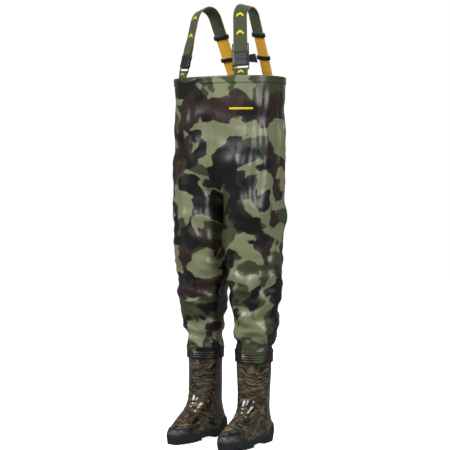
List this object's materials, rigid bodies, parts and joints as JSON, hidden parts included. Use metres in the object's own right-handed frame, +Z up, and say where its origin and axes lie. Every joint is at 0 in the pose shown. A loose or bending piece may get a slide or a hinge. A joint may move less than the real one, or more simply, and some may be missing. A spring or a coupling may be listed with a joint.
{
  "type": "chest waders",
  "caption": "Camouflage chest waders with welded rubber boots, buckled elastic shoulder straps, and legs that bend at hip, knee and ankle.",
  "frame": {"origin": "on the floor, under the middle of the whole object's box", "axes": "+Z up the body, -Y out of the chest and toes, +X to the wearer's left"},
  "size_m": [0.457, 0.3622, 1.6069],
  "materials": {
    "camo_fabric": "glossy PVC-coated woodland camouflage cloth",
    "crumpled_fabric": "the same coated cloth where it folds at the joints",
    "seam_tape": "welded seam tape and stitched hems",
    "boot_pvc": "glossy moulded PVC with a reed camouflage print",
    "outsole_rubber": "matt cleated rubber",
    "insole_foam": "felt-faced foam",
    "webbing": "woven elastic webbing, green outside and yellow inside",
    "buckle_plastic": "moulded acetal with a satin surface"
  },
  "bodies": {
    "bib": {"chest_hem": "seam_tape", "centre_front_seam_tape": "seam_tape", "centre_back_seam_tape": "seam_tape", "left_bib_front": "camo_fabric", "left_bib_back": "camo_fabric", "left_hip_folds": "crumpled_fabric", "left_side_seam_tape": "seam_tape", "left_front_tab": "webbing", "left_male_buckle": "buckle_plastic", "left_back_anchor": "webbing", "right_bib_front": "camo_fabric", "right_bib_back": "camo_fabric", "right_hip_folds": "crumpled_fabric", "right_side_seam_tape": "seam_tape", "right_front_tab": "webbing", "right_male_buckle": "buckle_plastic", "right_back_anchor": "webbing"},
    "left_thigh": {"left_thigh_front": "camo_fabric", "left_thigh_back": "camo_fabric", "left_knee_folds": "crumpled_fabric"},
    "left_shin": {"left_shin_front": "camo_fabric", "left_shin_back": "camo_fabric", "left_ankle_folds": "crumpled_fabric"},
    "left_boot": {"left_boot_upper": "boot_pvc", "left_outsole": "outsole_rubber", "left_insole": "insole_foam", "left_ankle_cuff": "seam_tape"},
    "right_thigh": {"right_thigh_front": "camo_fabric", "right_thigh_back": "camo_fabric", "right_knee_folds": "crumpled_fabric"},
    "right_shin": {"right_shin_front": "camo_fabric", "right_shin_back": "camo_fabric", "right_ankle_folds": "crumpled_fabric"},
    "right_boot": {"right_boot_upper": "boot_pvc", "right_outsole": "outsole_rubber", "right_insole": "insole_foam", "right_ankle_cuff": "seam_tape"},
    "suspenders": {"left_shoulder_strap": "webbing", "left_female_buckle": "buckle_plastic", "right_shoulder_strap": "webbing", "right_female_buckle": "buckle_plastic"},
    "left_adjuster": {"left_upper_slider": "buckle_plastic"},
    "right_adjuster": {"right_upper_slider": "buckle_plastic"},
    "cross_piece": {"left_cross_slider": "buckle_plastic", "right_cross_slider": "buckle_plastic", "cross_band": "webbing"},
    "left_inner_prong": {"left_inner_prong": "buckle_plastic"},
    "left_outer_prong": {"left_outer_prong": "buckle_plastic"},
    "right_inner_prong": {"right_inner_prong": "buckle_plastic"},
    "right_outer_prong": {"right_outer_prong": "buckle_plastic"}
  },
  "joints": [
    {"name": "left_hip", "type": "hinge", "parent": "bib", "child": "left_thigh", "pos_m": [0.115, 0.03295, 0.962], "axis": [-1, 0, 0], "range_deg": [-12, 60], "deforming": ["left_hip_folds"]},
    {"name": "left_knee", "type": "hinge", "parent": "left_thigh", "child": "left_shin", "pos_m": [0.115, 0.03295, 0.562], "axis": [1, 0, 0], "range_deg": [0, 75], "deforming": ["left_knee_folds"]},
    {"name": "left_ankle", "type": "hinge", "parent": "left_shin", "child": "left_boot", "pos_m": [0.115, 0.03295, 0.373], "axis": [1, 0, 0], "range_deg": [-18, 22], "deforming": ["left_ankle_folds"]},
    {"name": "right_hip", "type": "hinge", "parent": "bib", "child": "right_thigh", "pos_m": [-0.115, 0.03295, 0.962], "axis": [-1, 0, 0], "range_deg": [-12, 60], "deforming": ["right_hip_folds"]},
    {"name": "right_knee", "type": "hinge", "parent": "right_thigh", "child": "right_shin", "pos_m": [-0.115, 0.03295, 0.562], "axis": [1, 0, 0], "range_deg": [0, 75], "deforming": ["right_knee_folds"]},
    {"name": "right_ankle", "type": "hinge", "parent": "right_shin", "child": "right_boot", "pos_m": [-0.115, 0.03295, 0.373], "axis": [1, 0, 0], "range_deg": [-18, 22], "deforming": ["right_ankle_folds"]},
    {"name": "suspenders_swing", "type": "hinge", "parent": "bib", "child": "suspenders", "pos_m": [0, 0.18296, 1.347], "axis": [-1, 0, 0], "range_deg": [0, 180]},
    {"name": "left_strap_adjust", "type": "slide", "parent": "suspenders", "child": "left_adjuster", "axis": [0.05, -0.4502, 0.8915], "range_m": [-0.04, 0.025]},
    {"name": "right_strap_adjust", "type": "slide", "parent": "suspenders", "child": "right_adjuster", "axis": [-0.05, -0.4502, 0.8915], "range_m": [-0.04, 0.025]},
    {"name": "cross_piece_slide", "type": "slide", "parent": "suspenders", "child": "cross_piece", "axis": [0, -0.4508, 0.8926], "range_m": [-0.02, 0.02]},
    {"name": "left_inner_squeeze", "type": "hinge", "parent": "bib", "child": "left_inner_prong", "pos_m": [0.10921, -0.08205, 1.37685], "axis": [-0.373, 0.9047, -0.2058], "range_deg": [0, 9], "stiffness_Nm_per_rad": 0.12},
    {"name": "left_outer_squeeze", "type": "hinge", "parent": "bib", "child": "left_outer_prong", "pos_m": [0.14042, -0.06873, 1.37885], "axis": [0.373, -0.9047, 0.2058], "range_deg": [0, 9], "stiffness_Nm_per_rad": 0.12},
    {"name": "right_inner_squeeze", "type": "hinge", "parent": "bib", "child": "right_inner_prong", "pos_m": [-0.10921, -0.08205, 1.37685], "axis": [-0.373, -0.9047, 0.2058], "range_deg": [0, 9], "stiffness_Nm_per_rad": 0.12},
    {"name": "right_outer_squeeze", "type": "hinge", "parent": "bib", "child": "right_outer_prong", "pos_m": [-0.14042, -0.06873, 1.37885], "axis": [0.373, 0.9047, -0.2058], "range_deg": [0, 9], "stiffness_Nm_per_rad": 0.12}
  ],
  "couplings": [
    {"joint": "left_inner_squeeze", "follows": "left_outer_squeeze", "ratio": 1},
    {"joint": "right_inner_squeeze", "follows": "right_outer_squeeze", "ratio": 1}
  ]
}
